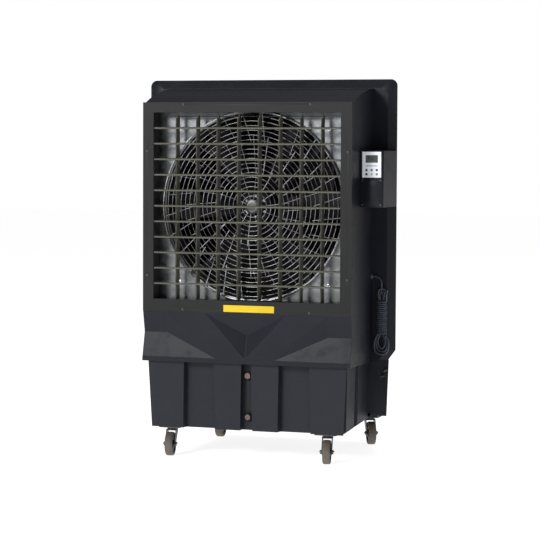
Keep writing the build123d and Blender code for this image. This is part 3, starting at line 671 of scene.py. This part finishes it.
def makeFan(v):
    low, high = (np.array(p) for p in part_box("fan_rotor"))
    cx, cz = 0.0, (low[2] + high[2]) / 2
    hubMiddle = faceY + 160 * mm
    grids = []
    spanSteps, chordSteps = 18, 14
    u = np.linspace(0, 1, spanSteps)[:, None]
    # chordwise loop: over the top from the leading edge, back under it
    loop = np.linspace(0, 2 * np.pi, 2 * chordSteps, endpoint=False)[None]
    along, across = 0.5 * np.cos(loop), 0.5 * np.sin(loop)
    radius = v["hub"] - 6 + (v["tip"] - v["hub"] + 6) * u
    chord = ((v["rootChord"] + (v["tipChord"] - v["rootChord"]) * u)
             * (1 - 0.42 * np.clip((u - 0.86) / 0.14, 0, 1) ** 2))
    pitch = np.radians(v["rootPitch"] + (v["tipPitch"] - v["rootPitch"]) * u)
    flat = along * chord
    rise = v["camber"] * (1 - (2 * along) ** 2) + v["thick"] * across * (1.15 - 0.55 * u)
    lean = 0.10 * (u ** 2) * chord
    swept = (flat + lean) * np.cos(pitch) - rise * np.sin(pitch)
    depth = (flat + lean) * np.sin(pitch) + rise * np.cos(pitch)
    stretch = np.sqrt(np.maximum(radius ** 2 - swept ** 2, 1.0))      # keeps the tip on its circle
    for k in range(v["count"]):
        a = 2 * math.pi * k / v["count"]
        x = stretch * math.cos(a) - swept * math.sin(a)
        z = stretch * math.sin(a) + swept * math.cos(a)
        points = np.stack([cx + x * mm, hubMiddle + depth * mm + 0 * x, cz + z * mm], -1)
        ends = [points[0].mean(0)[None].repeat(points.shape[1], 0),
                points[-1].mean(0)[None].repeat(points.shape[1], 0)]
        grids.append((np.concatenate([ends[0][None], points, ends[1][None]]), False, True, 0))
    hub = [(0, -33), (22, -34), (48, -33), (66, -29), (73, -22), (75, -12), (75, 33), (74, 35),
           (70, 35), (70, 12),
           (20, 12), (18, 35), (0, 35)]
    grids.append(turned(hub, (cx, hubMiddle, cz), (0, 1, 0), 72))
    reach = (high[1] - hubMiddle) / mm
    grids.append(turned([(0, 20), (10, 20), (10, reach - 1), (9, reach), (0, reach)],
                        (cx, hubMiddle, cz), (0, 1, 0), 32, 1))
    for k in range(6):
        a = math.pi / 6 + math.pi / 3 * k
        spot = (cx + 44 * mm * math.cos(a), hubMiddle - 33 * mm, cz + 44 * mm * math.sin(a))
        grids.append(turned([(0, 1), (6, 1), (6, -3.2), (5, -4), (0, -4)], spot, (0, 1, 0), 6, 1))
    piece("fan_blades", grids, "fan_rotor", [bladePlastic, axleSteel], ["fan_rotor"])


makeFan(bladeShape)

motorValues = {"ribs": 28, "ribHeight": 3.0, "ribWide": 2.6}


def makeMotor(v):
    low, high = (np.array(p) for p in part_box("fan_motor"))
    length = (high[1] - low[1]) / mm
    radius = (high[0] - low[0]) / 2 / mm
    cz = low[2] + radius * mm
    origin = (0.0, low[1], cz)
    core = radius - v["ribHeight"]
    profile = [(10.05, 43), (10.05, 0), (26, 0), (30, 1), (core - 12, 1), (core, 8), (radius, 9),
               (radius, 50), (core, 52), (core, length - 14),
               (core - 4, length - 5), (core - 14, length), (0, length)]
    grids = [turned(profile, origin, (0, 1, 0), 72)]
    for k in range(v["ribs"]):
        a = 2 * math.pi * k / v["ribs"]
        if abs(a - math.pi / 2) < 0.45:
            continue
        bar = roundedBar(v["ribWide"], v["ribHeight"] + 2, 0.8) * mm
        points, closeRows, closeColumns = slab(bar, 54 * mm, (length - 16) * mm, 0.5 * mm, axis=1)
        spin = np.array([[math.sin(a), 0, -math.cos(a)], [0, 1, 0], [math.cos(a), 0, math.sin(a)]])
        centre = np.array([math.cos(a), 0, math.sin(a)]) * (radius - v["ribHeight"] / 2 - 1) * mm
        grids.append((points @ spin + centre + origin, closeRows, closeColumns, 0))
    boxLow = cz + (radius - 6) * mm
    y0 = (low[1] - faceY) / mm
    grids.append(plate((-30, 30), (y0 + 54, y0 + 120), (boxLow / mm, high[2] / mm - 4), 1.0, 0, 4))
    grids.append(plate((-29, 29), (y0 + 55, y0 + 119), (high[2] / mm - 5, high[2] / mm), 1.2, 0, 4))
    for sx in (-24, 24):
        for sy in (60, 114):
            spot = at(sx, y0 + sy, high[2] / mm - 1)
            grids.append(turned([(0, 0), (3, 0), (3, 0.6), (2.2, 1.0), (0, 1.0)], spot, (0, 0, 1), 12, 1))
    piece("motor_body", grids, "root", [motorPaint, axleSteel], ["fan_motor"])


makeMotor(motorValues)

shroudValues = {"fold": 5.0, "rim": 387.0, "centre": 1047.0, "half": 446.0, "top": 1466.0,
                "bottom": 622.0, "bolts": (0.25, 0.80)}


def makeShroudTrim(v):
    # the bright rolled rim of the duct, creases pressed into the corners of the sheet, and its bolts
    front = np.array(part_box("fan_shroud")[0])[1]
    cz = v["centre"] * mm
    rim = v["rim"]
    grids = [turned([(rim, 6), (rim, -1.0), (rim + 1.5, -4.2), (rim + 6, -5.6), (rim + 11, -4.0),
                     (rim + 13, -1.0),
                     (rim + 13, 0.6)], (0, front, cz), (0, 1, 0), 144)]
    for sx in (1, -1):
        for up in (1, -1):
            corner = np.array([sx * v["half"], (v["top"] if up > 0 else v["bottom"])])
            near = np.array([0.0, v["centre"]]) + np.array([sx, up]) * (rim + 20) / math.sqrt(2)
            y = front / mm - faceY / mm
            # a shallow four-sided pyramid pressed forwards between the rim and the corner
            tip = near * 0.45 + corner * 0.55
            flat = [near, np.array([corner[0], near[1]]), corner, np.array([near[0], corner[1]])]
            ring = np.array([at(p[0], y - 0.1, p[1]) for p in flat])
            peak = at(tip[0], y - v["fold"], tip[1])
            grids.append((np.stack([ring, np.repeat(peak[None], 4, 0)]), False, True, 0))
            for k in v["bolts"]:
                spot = near * (1 - k) + corner * k
                head = at(spot[0], y - v["fold"] * (1 - abs(k - 0.55) / 0.55) + 1.5, spot[1])
                grids.append(turned([(0, 0), (7.5, 0), (7.5, -1.6), (5.5, -2.0), (5.5, -5.2),
                                     (0, -6.0)], head, (0, 1, 0), 12, 1))
    piece("shroud_trim", grids, "root", [zinc, axleSteel], (), smooth=20)


makeShroudTrim(shroudValues)
print("fan made")


# ---- casters ----

wheelValues = {"radius": 50.0, "width": 33.0, "tread": 8.5, "hub": 15.0,
               "rest": {"front_left": 10, "front_right": 13, "rear_left": 5, "rear_right": 26}}


def makeWheels(v):
    for name in [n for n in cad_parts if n.startswith("caster_wheel_")]:
        fork = name.replace("wheel", "fork")
        low, high = (np.array(p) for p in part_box(name))
        centre = (low + high) / 2
        turn = math.radians(v["rest"][name.replace("caster_wheel_", "")])
        axis = np.array([math.cos(turn), math.sin(turn), 0.0])
        r, w = v["radius"], v["width"] / 2
        tread = [(r - v["tread"], -w + 2.5), (r - 4, -w + 0.6), (r - 1.2, -w + 3.2), (r, -w + 8),
                 (r, w - 8), (r - 1.2, w - 3.2),
                 (r - 4, w - 0.6), (r - v["tread"], w - 2.5)]
        disc = [(r - v["tread"] + 0.3, -w + 1.6), (r - v["tread"] - 4, -w + 1.2),
                (r - v["tread"] - 7, -w + 5), (v["hub"] + 4, -w + 6),
                (v["hub"], -w + 1), (8, -w), (5.05, -w), (5.05, w), (8, w), (v["hub"], w - 1),
                (v["hub"] + 4, w - 6),
                (r - v["tread"] - 7, w - 5), (r - v["tread"] - 4, w - 1.2),
                (r - v["tread"] + 0.3, w - 1.6)]
        grids = [turned(tread, centre, axis, 96, 0), turned(disc, centre, axis, 96, 1)]
        piece(name + "_tyre", grids, name, [treadRubber, hubPlastic], [name])
        # bright nuts and washers on the axle, riding with the fork
        nuts = []
        for side in (1, -1):
            spot = centre + axis * side * (w + 5.0) * mm
            nuts.append(turned([(0, 0), (8.2, 0), (8.2, 1.0), (7.4, 1.4), (7.4, 6.0), (6.4, 7.0),
                                (0, 7.0)], spot, axis * side, 6))
            nuts.append(turned([(0, 6), (4.6, 6), (4.6, 9.0), (3.8, 9.8), (0, 9.8)], spot,
                               axis * side, 20))
        piece(fork + "_nuts", nuts, fork, [axleSteel])


makeWheels(wheelValues)
print("casters made")


# ---- fittings, screws and stubs ----

screwValues = {"inner": (277.0, (618.0, 1468.0)), "outer": (437.5, (757.0, 1275.0)), "slot": 2.1,
               "slotWire": 0.9}


def makeScrews(v):
    grids = []
    spots = [(sx * v[key][0], z) for key in ("inner", "outer") for sx in (1, -1) for z in v[key][1]]
    for x, z in spots:
        spot = at(x, 0, z)
        head = [(3, 11.5), (3, -0.05), (5.6, 0), (5.5, -0.9), (4.6, -1.9), (3.0, -2.35), (2.2, -2.4),
                (1.9, -1.2), (0, -1.2)]
        grids.append(turned([(0, 12)] + head, spot, (0, 1, 0), 24))
        for a in (0.4, 0.4 + math.pi / 2):
            d = np.array([math.cos(a), 0, math.sin(a)]) * v["slot"] * mm
            grids.append(stick(spot + d + [0, -1.3 * mm, 0], spot - d + [0, -1.3 * mm, 0],
                               v["slotWire"] * mm))
    piece("screw_heads", grids, "root", [screwSteel], ["frame_screws"])


fittingValues = {"plugs": ((347.0, 19.0), (174.0, 18.0)), "inner": 0.66, "ribs": 18}


def makeFittings(v):
    # two ribbed round plugs in the channel, each in a dark collar; the channel's floor leans back
    grids = []
    for z, radius in v["plugs"]:
        back = 18 + 32 - (z - 120) * 6 / 285
        spot = at(0, back, z)
        grids.append(turned([(0, 1), (radius, 1), (radius, -6), (radius - 1.2, -8),
                             (radius - 3.5, -8), (radius - 4, -6.5),
                             (0, -6.5)], spot, (0, 1, 0), 48, 1))
        inner = radius * v["inner"]
        grids.append(turned([(0, -5), (inner, -5), (inner, -13.6), (inner - 1, -15),
                             (inner * 0.5, -15), (inner * 0.45, -13),
                             (0, -13)], spot, (0, 1, 0), 36, 0))
        for k in range(v["ribs"]):
            a = 2 * math.pi * k / v["ribs"]
            d = np.array([math.cos(a), 0, math.sin(a)]) * inner * mm
            grids.append(stick(spot + d + [0, -6.8 * mm, 0], spot + d + [0, -13.8 * mm, 0], 1.5 * mm))
        grids.append(turned([(0, 10), (7, 10), (7, 1), (0, 1)], spot, (0, 1, 0), 24, 1))
        grids.append(turned([(0, 6.5), (radius * 0.9, 6.5), (radius * 0.9, 11.5), (0, 11.5)], spot,
                            (0, 1, 0), 36, 1))
    piece("channel_plugs", grids, "root", [brass, bladePlastic], ["channel_fittings"])


stubValues = {"spots": ((513.0, 363.0), (500.0, 339.0)), "front": 322}


def makeStubs(v):
    grids = []
    for x, z in v["spots"]:
        spot = at(x, v["front"], z)
        profile = [(0, -8), (4.5, -8), (4.5, -0.2), (5, 0), (5, 6), (5, 43), (4.4, 45), (3.2, 45),
                   (3.2, 12), (0, 12)]
        grids.append(turned(profile, spot, (0, -1, 0), 32, 0))
        grids.append(turned([(4.4, -3.2), (8.5, -3.2), (8.5, -1.2), (7.5, -0.6), (4.4, -0.6)], spot,
                            (0, -1, 0), 6, 0))
    piece("pipe_stubs", grids, "root", [hoseRubber], ["water_stubs"])


def makeGland():
    spot = at(455, 296, 756)
    ribs = [(8.6, 4.0)]
    for k in range(4):
        ribs += [(8.4 - 0.75 * k, 4.4 + k * 1.15), (7.4 - 0.75 * k, 5.0 + k * 1.15)]
    profile = [(3.8, -9), (9, -9), (9, 0), (11, 0), (11, 2.6), (10.2, 3.8)] + ribs
    profile += [(5.2, 9.0), (3.8, 9.0)]
    piece("gland_body", [turned(profile, spot, (1, 0, 0), 40)], "root", [cordRubber],
          ["cord_gland"])


def makeFloat():
    low, high = (np.array(p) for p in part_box("float_valve"))
    ball = np.array([low[0] + 28 * mm, high[1] - 28 * mm, low[2] + 28 * mm])
    turn = np.linspace(-np.pi / 2, np.pi / 2, 24)
    shell = np.stack([28 * np.cos(turn), 28 * np.sin(turn)], -1)
    shell = np.concatenate([shell[:12], [(28.6, -0.8), (28.6, 0.8)], shell[12:]])
    body = at(500, 338, 363)
    grids = [turned(shell, ball, (0, 0, 1), 40), stick(body, ball, 4 * mm, 1, 12),
             plate((493, 507), (330.4, 346), (354.5, 371.5), 1.0, 0, 3)]
    piece("float_body", grids, "root", [whitePlastic, brass], ["float_valve"])


makeScrews(screwValues)
makeFittings(fittingValues)
makeStubs(stubValues)
makeGland()
makeFloat()
print("fittings made")


# ---- display, keys, cover and badge ----

displayValues = {"middle": (503.75, 1223.5), "half": (40.2, 52.7), "front": 117.0}


def makeDisplay(v):
    cx, cz = v["middle"]
    y = v["front"]
    grids = []
    # the dark screen, a plain grey strip under it, four dark strips round the panel as painted shadow of
    # the gap at its edge, and a dark screw clip outside each corner
    grids.append(plate((cx - 26.3, cx + 26.3), (y + 0.7, y + 2.2), (cz + 8.2, cz + 38.8), 0.2, 1, 1.0))
    grids.append(plate((cx - 25, cx + 25), (y - 0.3, y + 0.5), (cz - 7.0, cz - 3.0), 0.1, 2, 0.6))
    w, h = v["half"]
    for x0, x1, z0, z1 in ((-w, w, h, h + 1.6), (-w, w, -h - 1.6, -h),
                           (-w - 1.6, -w, -h - 1.6, h + 1.6), (w, w + 1.6, -h - 1.6, h + 1.6)):
        grids.append(plate((cx + x0, cx + x1), (y + 1.2, y + 2.9), (cz + z0, cz + z1), 0.2, 0, 0.5))
    for sx in (1, -1):
        for sz in (1, -1):
            x, z = cx + sx * (w + 1.2), cz + sz * (h + 1.8)
            grids.append(plate((x - 2.4, x + 2.4), (y - 1.0, y + 2.8), (z - 2.4, z + 2.4), 0.5, 0, 1.0))
    piece("display_marks", grids, "root", [darkMarksAndGapShadow, screenGlass, keyLight, hubPlastic])
    # seven-bar figures in a slightly paler grey behind the lens
    bars = []
    for k, digit in enumerate((0b1101101, 0b1110111)):
        x, z = cx - 11 + k * 14, cz + 24
        for b, (dx, dz, wide, tall) in enumerate(((0, 8, 6, 1.6), (3.8, 4, 1.6, 6), (3.8, -4, 1.6, 6),
                                                  (0, -8, 6, 1.6),
                                                  (-3.8, -4, 1.6, 6), (-3.8, 4, 1.6, 6), (0, 0, 6, 1.6))):
            if digit >> b & 1:
                bars.append(plate((x + dx - wide / 2, x + dx + wide / 2), (y + 0.45, y + 0.75),
                                  (z + dz - tall / 2, z + dz + tall / 2), 0.05, 0, 0.3))
    piece("display_figures", bars, "root", [darkMarksAndGapShadow])
    for k in range(6):
        name = f"key_{k + 1}"
        low, high = (np.array(p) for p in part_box(name))
        centre = (low + high) / 2
        origin = (centre[0], low[1], centre[2])
        profile = [(0, 0.7), (1.6, 0.45), (3.2, 0.15), (4.0, 0.3), (4.5, 0.9), (4.5, 5.0), (5.7, 5.0),
                   (5.7, 7.0), (4.5, 7.0), (4.5, 8.0), (0, 8.0)]
        finish = keyLight if k == 4 else keyOlive if k == 5 else keyDark
        piece(name + "_cap", [turned(profile, origin, (0, 1, 0), 28)], name, [finish],
              [name])


# dark material of the figures and clips, also used for the painted gap shadow round the panel
darkMarksAndGapShadow = mouldedPlastic("screen border", (0.012, 0.012, 0.014), 0.3, grain=0.05, chalk=0.0)
screenGlass = mouldedPlastic("screen", (0.055, 0.06, 0.058), 0.12, grain=0.0, chalk=0.0)
makeDisplay(displayValues)


def makeCover():
    # a cover that bulges gently towards its right side, with four dark screws in sunk corners
    low, high = (np.array(p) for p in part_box("control_cover"))
    x0, x1, z0, z1 = low[0] / mm, high[0] / mm, low[2] / mm, high[2] / mm
    columns, rows = 30, 8
    u, t = np.meshgrid(np.linspace(0, 1, columns), np.linspace(0, 1, rows))
    edge = np.minimum(np.minimum(u, 1 - u) * 12, np.minimum(t, 1 - t) * 20).clip(0, 1)
    bulge = 6.5 * np.sin(np.pi * np.clip(u, 0, 1) ** 1.35) * edge ** 0.5
    front = np.stack([x0 + (x1 - x0) * u, 118.0 - bulge, z0 + (z1 - z0) * t], -1)
    front = np.stack([front[..., 0] * mm, faceY + front[..., 1] * mm, front[..., 2] * mm], -1)
    back = front.copy()
    back[..., 1] = faceY + 120 * mm
    rim = np.concatenate([front[0], front[1:, -1], front[-1, -2::-1], front[-2:0:-1, 0]])
    rimBack = rim.copy()
    rimBack[:, 1] = faceY + 120 * mm
    grids = [(front, False, False, 0), (np.stack([rim, rimBack]), False, True, 0),
             (back, False, False, 0)]
    for x in (x0 + 8, x1 - 8):
        for z in (z0 + 8, z1 - 8):
            grids.append(turned([(0, 1), (4, 1), (4, -1.0), (3.2, -1.6), (0, -1.6)], at(x, 116.5, z),
                                (0, 1, 0), 20, 1))
    piece("cover_skin", grids, "root", [housingPlastic, screwSteel], ["control_cover"])


def makeBadge():
    piece("badge", [plate((-95, 126), (-1.4, 0.3), (613, 641), 0.4, 0, 2.0)], "root", [badgePaint])


makeCover()
print("controls made")


# ---- cooling pad and what is round it ----

padValues = {"flute": 14.0, "deep": 5.0, "across": 260, "up": 150}


def makePad(v):
    # the mouths of crossed flutes: slanted waves that change hand from one sheet to the next
    low, high = (np.array(p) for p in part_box("cooling_pad"))
    x = np.linspace(low[0], high[0], v["across"])
    z = np.linspace(low[2], high[2], v["up"])
    gx, gz = np.meshgrid(x, z)
    grids = []
    for side, y in ((-1, low[1]), (1, high[1])):
        sheet = np.floor(gx / (v["flute"] * mm * 0.5)) % 2 * 2 - 1
        wave = np.cos(2 * np.pi * (gz + sheet * gx * 0.6) / (v["flute"] * mm))
        inner = np.minimum(np.minimum(gx - low[0], high[0] - gx),
                           np.minimum(gz - low[2], high[2] - gz)) > 4 * mm
        gy = y - side * v["deep"] * mm * (0.5 - 0.5 * wave) * inner
        grids.append((np.stack([gx, gy, gz], -1), False, False, 0))
    front, back = grids[0][0], grids[1][0]
    loops = [np.concatenate([g[0], g[1:, -1], g[-1, -2::-1], g[-2:0:-1, 0]]) for g in (front, back)]
    grids.append((np.stack(loops), False, True, 0))
    piece("pad_sheets", grids, "root", [padPaper], ["cooling_pad"], smooth=50)


makePad(padValues)


def makeHose():
    low, high = (np.array(p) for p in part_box("supply_hose"))
    radius = (high[0] - low[0]) / 2 / mm
    length = (high[2] - low[2]) / mm
    origin = ((low[0] + high[0]) / 2, (low[1] + high[1]) / 2, low[2])
    clip = [(radius, 14), (radius + 1.0, 14), (radius + 1.0, 23), (radius, 23)]
    far = [(radius, length - 23), (radius + 1.0, length - 23), (radius + 1.0, length - 14),
           (radius, length - 14)]
    grids = [turned([(0, 0), (radius, 0)] + [(radius, length)] + [(0, length)], origin, (0, 0, 1), 32, 0),
             turned(clip, origin, (0, 0, 1), 32, 1), turned(far, origin, (0, 0, 1), 32, 1)]
    piece("hose_run", grids, "root", [hoseRubber, axleSteel], ["supply_hose"])


makeHose()
makeBadge()
print("pad and hose made")


def paint(node, material):
    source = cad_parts[node]
    for i in range(len(source.material_slots)):
        source.material_slots[i].material = material


for node, material in {"fan_shroud": zinc, "display_lens": lensGlass}.items():
    paint(node, material)


# ---- floor and lights ----

# each lamp: name, power, size, place
studio = {"lamps": (("key", 270.0, 1.8, (-2.4, -6.2, 3.4)), ("fill", 12.0, 4.0, (5.0, -4.0, 3.0)),
                    ("top", 90.0, 4.0, (0.5, 0.5, 6.0))),
          "aim": (0, 0, 0.8), "sky": 0.15, "floor": 0.85}


def makeStudio(v):
    floor = bpy.data.meshes.new("floor")
    floor.from_pydata([(-30, -30, 0), (30, -30, 0), (30, 30, 0), (-30, 30, 0)], [], [(0, 1, 2, 3)])
    ground = bpy.data.objects.new("floor", floor)
    bpy.context.scene.collection.objects.link(ground)
    glow = {"Base Color": shade((0.9, 0.9, 0.9)), "Roughness": 0.9, "Emission Color": shade((1, 1, 1)),
            "Emission Strength": v["floor"]}
    floor.materials.append(newMaterial("pale floor", lambda space: glow))
    for name, power, size, place in v["lamps"]:
        data = bpy.data.lights.new(name, "AREA")
        data.energy = power
        data.size = size
        lamp = bpy.data.objects.new(name, data)
        lamp.location = place
        aim = Vector(v["aim"]) - Vector(place)
        lamp.rotation_euler = aim.to_track_quat("-Z", "Y").to_euler()
        bpy.context.scene.collection.objects.link(lamp)
    world = bpy.data.worlds.new("studio")
    world.use_nodes = True
    tree = world.node_tree
    sky = tree.nodes["Background"]
    sky.inputs[0].default_value = (1, 1, 1, 1)
    # white behind the cooler as the camera sees it, a dim grey room as the cooler sees it
    seen = tree.nodes.new("ShaderNodeLightPath").outputs["Is Camera Ray"]
    level = Wire(tree, seen) * (1.0 - v["sky"]) + v["sky"]
    tree.links.new(level.socket, sky.inputs[1])
    bpy.context.scene.world = world
    bpy.context.scene.view_settings.view_transform = "Standard"


makeStudio(studio)

tuple(at(*cordValues["route"][0]))
